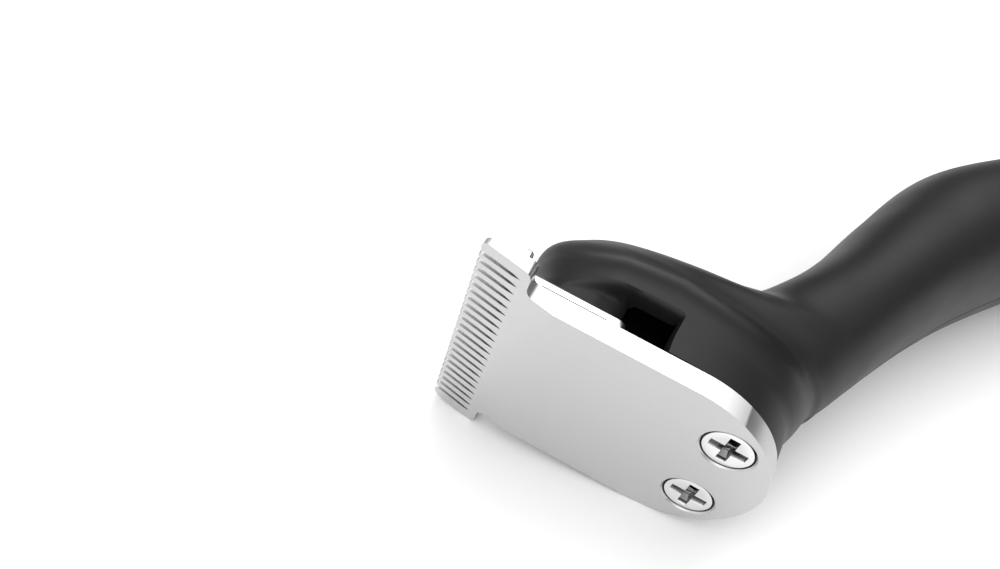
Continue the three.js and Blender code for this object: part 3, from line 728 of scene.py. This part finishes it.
right, left = housing()
stand_for(right, SOFT_BLACK, "root", "housing_black", "housing_shell_right")
stand_for(left, SOFT_BLACK, "root", "housing_black", "housing_shell_left")
stand_for(end_cap(), CAP_BLACK, "root", "cap_black", "end_cap")
stand_for(power_button(), BUTTON_BLACK, "button", "button_black", "power_button")
stand_for(fixed_blade(), PLATE_STEEL, "root", "plate_steel", "fixed_blade")
stand_for(moving_blade(), CUTTER_STEEL, "cutter", "cutter_steel", "moving_blade")
for side, name in ((1, "right"), (-1, "left")):
    screw = blade_screw(f"blade_screw_{name}_fine", side * SCREW_Z)
    stand_for(screw, SCREW_STEEL, "root", "screw_steel", f"blade_screw_{name}")
for node, material in CAD_FINISHES.items():
    give(frame["nodes"][node], material)


# ---- floor, light and camera --------------------------------------------------------------
def floor():
    """A wide pale sheet under the clipper."""
    finish = Finish("floor_pale", (0.9, 0.9, 0.9), 0.7)
    finish.tint(finish.noise(0.01, 2), 0.01)
    finish.vary_roughness(finish.noise(0.02, 2), 0.02)
    reach = 20.0
    mesh = bpy.data.meshes.new("floor")
    corners = [(-reach, -reach, 0), (reach, -reach, 0), (reach, reach, 0), (-reach, reach, 0)]
    mesh.from_pydata(corners, [], [(0, 1, 2, 3)])
    obj = bpy.data.objects.new("floor", mesh)
    bpy.context.scene.collection.objects.link(obj)
    give(obj, finish.material)


def studio(panels):
    """Soft light from a list of round panels far away: azimuth and height in degrees, and brightness."""
    world = bpy.data.worlds.new("studio")
    world.use_nodes = True
    tree = world.node_tree
    place = tree.nodes.new("ShaderNodeTexCoord")
    total = None
    for azimuth, height, brightness in panels:
        a, h = math.radians(azimuth), math.radians(height)
        facing = tree.nodes.new("ShaderNodeVectorMath")
        facing.operation = "DOT_PRODUCT"
        facing.inputs[1].default_value = (math.cos(h) * math.cos(a), math.cos(h) * math.sin(a), math.sin(h))
        tree.links.new(place.outputs["Generated"], facing.inputs[0])
        front = math_node(tree, "MAXIMUM", facing.outputs["Value"], 0.0)
        glow = math_node(tree, "MULTIPLY", math_node(tree, "POWER", front, PANEL_SHARPNESS), brightness)
        total = math_node(tree, "ADD", glow, total) if total else glow
    tree.nodes["Background"].inputs["Color"].default_value = (1, 1, 1, 1)
    tree.links.new(total, tree.nodes["Background"].inputs["Strength"])
    bpy.context.scene.world = world


def math_node(tree, operation, value, other):
    """The output of a math node on a value and a number or second value."""
    made = tree.nodes.new("ShaderNodeMath")
    made.operation = operation
    tree.links.new(value, made.inputs[0])
    if isinstance(other, float):
        made.inputs[1].default_value = other
    else:
        tree.links.new(other, made.inputs[1])
    return made.outputs[0]


def camera():
    """The camera, placed and turned in the design frame."""
    eye = (11.24, -77.59, 116.33)
    right = Vector((0.8784, 0.4271, 0.2147)).normalized()
    up = Vector((-0.4664, 0.6672, 0.5808))
    up = (up - right * up.dot(right)).normalized()
    lens = bpy.data.cameras.new("camera")
    lens.lens = 34.7
    lens.sensor_width = 36.0
    lens.clip_start = 0.005
    obj = bpy.data.objects.new("camera", lens)
    turn = TURN @ Matrix((right, up, right.cross(up))).transposed()
    obj.matrix_world = Matrix.Translation(DESIGN @ Vector(eye)) @ turn.to_4x4()
    bpy.context.scene.collection.objects.link(obj)
    bpy.context.scene.camera = obj


floor()
studio(PANELS)
camera()
bpy.context.scene.view_settings.view_transform = "Standard"
